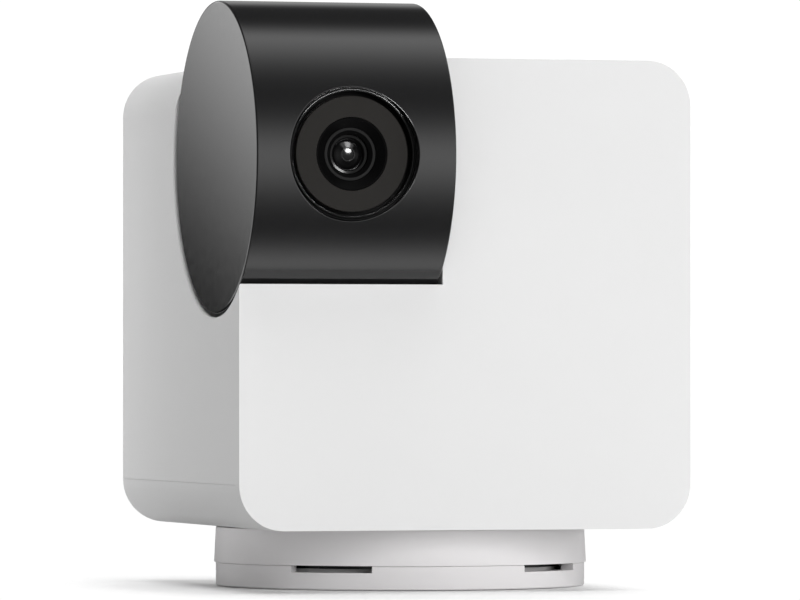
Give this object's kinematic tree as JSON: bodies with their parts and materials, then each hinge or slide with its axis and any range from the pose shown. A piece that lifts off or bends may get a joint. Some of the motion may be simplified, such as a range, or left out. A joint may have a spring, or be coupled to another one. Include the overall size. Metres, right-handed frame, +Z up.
{
  "type": "pan and tilt pet camera",
  "caption": "White rounded cube that turns on a low round base, with a glossy black lens drum that tilts in its upper corner.",
  "frame": {"origin": "on the table under the middle of the base, under the mouth of the tripod thread and on the pan axis", "axes": "+Z up along the pan axis, -Y out of the front where the lens looks, +X to the right of someone facing the front"},
  "size_m": [0.066, 0.0744, 0.0829],
  "materials": {
    "white_shell": "fine matt",
    "white_base": "fine matt",
    "black_gloss": "polished",
    "black_satin": "satin",
    "window_black": "satin, passes infrared",
    "lens_glass": "coated",
    "pad_rubber": "matt",
    "brass_insert": "machined",
    "steel_bright": "plain",
    "steel_screw": "zinc plated",
    "gear_white": "moulded",
    "frame_black": "moulded",
    "board_green": "solder mask",
    "board_black": "solder mask",
    "chip_black": "moulded",
    "connector_cream": "moulded",
    "lead_black": "sleeve",
    "emitter_clear": "clear resin",
    "foam_grey": "foam",
    "speaker_black": "paper cone in a basket",
    "aerial_film": "film"
  },
  "bodies": {
    "base": {"foot_pad": "pad_rubber", "base_plate": "white_base", "base_housing": "white_base", "tripod_insert": "brass_insert", "pan_hub": "gear_white", "pan_gear": "gear_white", "pan_gear_clip": "steel_bright", "pan_washer": "gear_white", "base_screws": "steel_screw", "hub_screws": "steel_screw", "base_board": "board_black", "base_connector": "connector_cream", "usb_c_shell": "steel_bright", "usb_c_tongue": "chip_black", "base_lead": "lead_black"},
    "head": {"main_shell": "white_shell", "bottom_cover": "white_shell", "rear_cover": "white_shell", "drum_cradle": "white_shell", "frame_plate": "frame_black", "pan_motor": "steel_bright", "tilt_motor": "steel_bright", "frame_screws": "steel_screw", "housing_screws": "steel_screw", "main_board": "board_green", "main_chip": "chip_black", "wifi_shield": "steel_bright", "lead_connectors": "connector_cream", "board_screws": "steel_screw", "reset_switch": "chip_black", "microphone": "steel_bright", "speaker": "speaker_black", "speaker_gasket": "foam_grey", "wifi_antenna": "aerial_film", "pan_lead": "lead_black", "tilt_lead": "lead_black"},
    "drum": {"drum_shell": "black_gloss", "drum_side_cap": "black_gloss", "drum_end_cap": "black_satin", "tilt_gear": "gear_white", "tilt_gear_clip": "steel_bright", "lens_bezel": "black_satin", "ir_window": "window_black", "lens_cone": "black_satin", "lens_barrel": "black_satin", "lens_retaining_ring": "black_satin", "lens_glass": "lens_glass", "lens_carrier": "frame_black", "carrier_screws": "steel_screw", "lens_holder": "frame_black", "sensor_board": "board_green", "image_sensor": "chip_black", "ir_led_board": "board_black", "ir_leds": "emitter_clear", "drum_lead": "lead_black"},
    "pan_pinion": {"pan_pinion": "brass_insert"},
    "tilt_pinion": {"tilt_pinion": "brass_insert"},
    "reset_button": {"reset_button": "gear_white"}
  },
  "joints": [
    {"name": "pan", "type": "hinge", "parent": "base", "child": "head", "pos_m": [0, 0, 0], "axis": [0, 0, 1], "range_deg": [-175, 175]},
    {"name": "tilt", "type": "hinge", "parent": "head", "child": "drum", "pos_m": [0, -0.0194, 0.06095], "axis": [-1, 0, 0], "range_deg": [-25, 90]},
    {"name": "pan_pinion_spin", "type": "hinge", "parent": "head", "child": "pan_pinion", "pos_m": [0.0188, 0, 0.016], "axis": [0, 0, 1], "range_deg": [-701, 701]},
    {"name": "tilt_pinion_spin", "type": "hinge", "parent": "head", "child": "tilt_pinion", "pos_m": [0.0048, -0.0051, 0.06095], "axis": [-1, 0, 0], "range_deg": [-253, 71]},
    {"name": "reset_press", "type": "slide", "parent": "head", "child": "reset_button", "axis": [0, -1, 0], "range_m": [0, 0.0004], "stiffness_N_per_m": 400, "springref_m": -0.0005}
  ],
  "couplings": [
    {"joint": "pan_pinion_spin", "follows": "pan", "ratio": 4},
    {"joint": "tilt_pinion_spin", "follows": "tilt", "ratio": -2.8}
  ]
}
